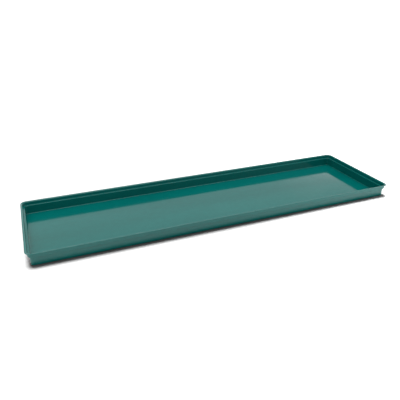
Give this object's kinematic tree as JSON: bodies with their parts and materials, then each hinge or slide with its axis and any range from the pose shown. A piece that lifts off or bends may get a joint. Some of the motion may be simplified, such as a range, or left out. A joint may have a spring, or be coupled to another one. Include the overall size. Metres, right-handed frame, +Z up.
{
  "type": "long shallow drip tray",
  "caption": "Long, narrow, shallow plastic tray with a flat floor, a closed wall and a flared rim above a narrow ledge.",
  "frame": {"origin": "centre of the underside, on the surface that the tray stands on", "axes": "+X along the tray's length, +Y across its width, +Z up out of its open top"},
  "size_m": [1, 0.282, 0.035],
  "materials": {
    "tray_plastic": "glossy blue-green moulded plastic, coloured right through"
  },
  "bodies": {
    "root": {"tray": "tray_plastic"}
  },
  "joints": []
}
